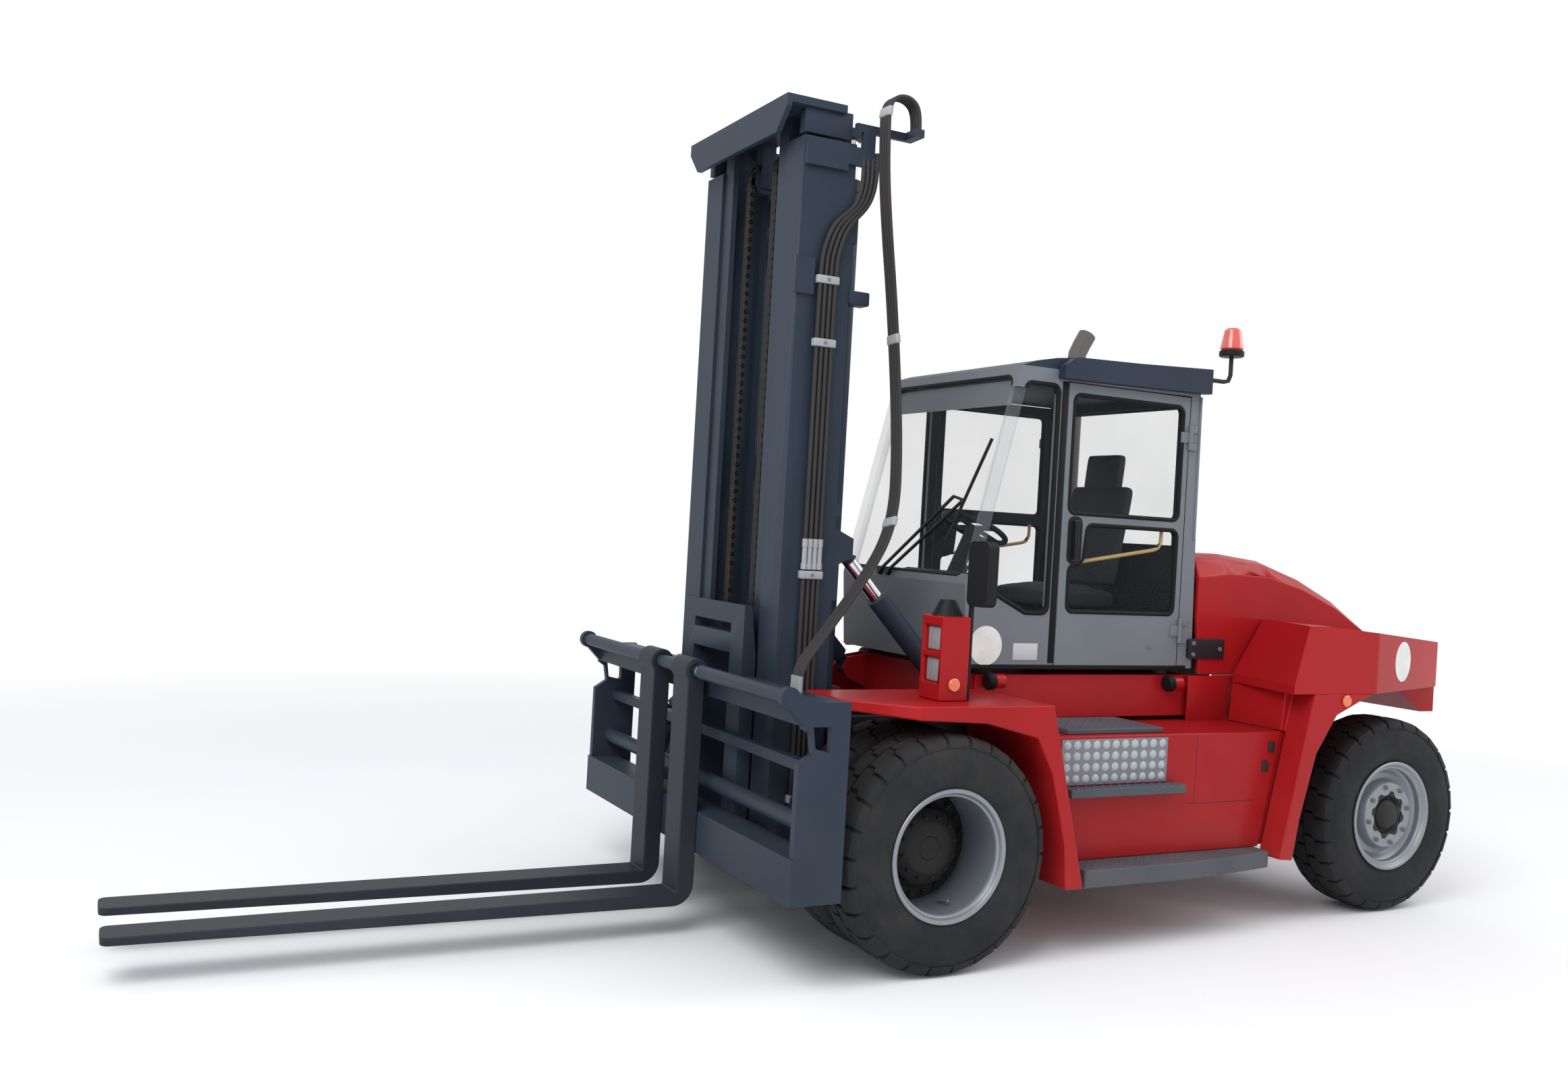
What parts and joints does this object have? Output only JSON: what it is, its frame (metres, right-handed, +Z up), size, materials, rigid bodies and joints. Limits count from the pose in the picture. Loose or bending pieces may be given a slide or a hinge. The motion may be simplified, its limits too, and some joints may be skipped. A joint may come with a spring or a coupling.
{
  "type": "heavy counterbalance forklift",
  "caption": "Heavy counterbalance forklift with a tilting lift mast, wide fork carriage, cab with doors, hood, counterweight, dual front wheels and steered rear wheels.",
  "frame": {"origin": "on the ground, at the middle of the overall length and width", "axes": "+X to the driver's left, -Y towards the fork tips, +Z up"},
  "size_m": [2.614, 7.37, 4.227],
  "materials": {
    "red_paint": "gloss enamel",
    "black_paint": "satin",
    "mast_paint": "satin",
    "fork_paint": "worn satin",
    "cab_paint": "satin",
    "roof_paint": "satin",
    "glass": "clear",
    "rim_paint": "silver",
    "tyre": "matte",
    "hose_rubber": "matte",
    "chrome": "polished",
    "chain_steel": "oiled",
    "black_plastic": "textured",
    "seat_fabric": "woven",
    "lens": "clear",
    "beacon_plastic": "translucent",
    "tread_steel": "worn",
    "tread_aluminium": "quilted",
    "exhaust_steel": "heat stained"
  },
  "bodies": {
    "chassis": {"frame": "black_paint", "deck": "red_paint", "front_fenders": "red_paint", "rear_fenders": "red_paint", "side_tanks": "red_paint", "step_treads": "tread_steel", "tread_plates": "tread_aluminium", "counterweight": "red_paint", "rear_grille": "black_paint", "engine": "black_paint", "drive_axle": "black_paint", "steer_axle": "black_paint", "cab_frame": "cab_paint", "cab_roof": "roof_paint", "cab_glass": "glass", "cab_mounts": "hose_rubber", "seat": "seat_fabric", "console": "black_plastic", "wiper": "black_plastic", "lamp_posts": "red_paint", "lamp_lenses": "lens", "mirrors": "black_plastic", "beacon": "beacon_plastic", "exhaust": "exhaust_steel"},
    "hood": {"hood": "red_paint"},
    "door_left": {"door_left": "cab_paint", "door_left_glass": "glass"},
    "door_right": {"door_right": "cab_paint", "door_right_glass": "glass"},
    "front_left_wheel": {"front_left_rims": "rim_paint", "front_left_tyres": "tyre"},
    "front_right_wheel": {"front_right_rims": "rim_paint", "front_right_tyres": "tyre"},
    "knuckle_left": {"knuckle_left": "black_paint"},
    "knuckle_right": {"knuckle_right": "black_paint"},
    "rear_left_wheel": {"rear_left_rim": "rim_paint", "rear_left_tyre": "tyre"},
    "rear_right_wheel": {"rear_right_rim": "rim_paint", "rear_right_tyre": "tyre"},
    "outer_mast": {"outer_mast": "mast_paint", "mast_pipes": "hose_rubber", "lift_barrels": "mast_paint", "hose_1": "hose_rubber", "hose_2": "hose_rubber", "hose_3": "hose_rubber", "hose_4": "hose_rubber"},
    "inner_mast": {"inner_mast": "mast_paint", "lift_rods": "chrome", "chains": "chain_steel"},
    "carriage": {"carriage": "mast_paint", "guide_shaft": "chrome"},
    "fork_left": {"fork_left": "fork_paint"},
    "fork_right": {"fork_right": "fork_paint"},
    "tilt_barrels": {"tilt_barrels": "mast_paint"},
    "tilt_rods": {"tilt_rods": "chrome"}
  },
  "joints": [
    {"name": "hood_hinge", "type": "hinge", "parent": "chassis", "child": "hood", "pos_m": [0, 3.295, 1.64], "axis": [-1, 0, 0], "range_deg": [0, 60]},
    {"name": "door_left_hinge", "type": "hinge", "parent": "chassis", "child": "door_left", "pos_m": [0.644, 1.754, 2.1], "axis": [0, 0, 1], "range_deg": [0, 95]},
    {"name": "door_right_hinge", "type": "hinge", "parent": "chassis", "child": "door_right", "pos_m": [-0.644, 1.754, 2.1], "axis": [0, 0, -1], "range_deg": [0, 95]},
    {"name": "front_left_spin", "type": "hinge", "parent": "chassis", "child": "front_left_wheel", "pos_m": [1.1, -0.175, 0.565], "axis": [1, 0, 0], "continuous": true},
    {"name": "front_right_spin", "type": "hinge", "parent": "chassis", "child": "front_right_wheel", "pos_m": [-1.1, -0.175, 0.565], "axis": [1, 0, 0], "continuous": true},
    {"name": "steer_left", "type": "hinge", "parent": "chassis", "child": "knuckle_left", "pos_m": [0.64, 3.075, 0.565], "axis": [0, 0, 1], "range_deg": [-65, 65]},
    {"name": "steer_right", "type": "hinge", "parent": "chassis", "child": "knuckle_right", "pos_m": [-0.64, 3.075, 0.565], "axis": [0, 0, 1], "range_deg": [-65, 65]},
    {"name": "rear_left_spin", "type": "hinge", "parent": "knuckle_left", "child": "rear_left_wheel", "pos_m": [0.922, 3.075, 0.565], "axis": [1, 0, 0], "continuous": true},
    {"name": "rear_right_spin", "type": "hinge", "parent": "knuckle_right", "child": "rear_right_wheel", "pos_m": [-0.922, 3.075, 0.565], "axis": [1, 0, 0], "continuous": true},
    {"name": "mast_tilt", "type": "hinge", "parent": "chassis", "child": "outer_mast", "pos_m": [0, -0.425, 0.52], "axis": [1, 0, 0], "range_deg": [-10, 5]},
    {"name": "mast_lift", "type": "slide", "parent": "outer_mast", "child": "inner_mast", "axis": [0, 0, 1], "range_m": [0, 1.6], "deforming": ["chains"]},
    {"name": "carriage_lift", "type": "slide", "parent": "outer_mast", "child": "carriage", "axis": [0, 0, 1], "range_m": [0, 3.2], "deforming": ["hose_1", "hose_2", "hose_3", "hose_4"]},
    {"name": "fork_left_slide", "type": "slide", "parent": "carriage", "child": "fork_left", "axis": [1, 0, 0], "range_m": [0, 0.85]},
    {"name": "fork_right_slide", "type": "slide", "parent": "carriage", "child": "fork_right", "axis": [-1, 0, 0], "range_m": [0, 0.85]},
    {"name": "tilt_barrels_swing", "type": "hinge", "parent": "chassis", "child": "tilt_barrels", "pos_m": [0, 0.255, 1.25], "axis": [1, 0, 0], "range_deg": [-14, 9]},
    {"name": "tilt_rods_slide", "type": "slide", "parent": "tilt_barrels", "child": "tilt_rods", "axis": [0, -0.6949, 0.7191], "range_m": [-0.22, 0.12]}
  ],
  "couplings": [
    {"joint": "steer_right", "follows": "steer_left", "ratio": 1},
    {"joint": "carriage_lift", "follows": "mast_lift", "ratio": 2},
    {"joint": "tilt_barrels_swing", "follows": "mast_tilt", "ratio": 1.105},
    {"joint": "tilt_rods_slide", "follows": "mast_tilt", "m_per_rad": 0.985}
  ]
}
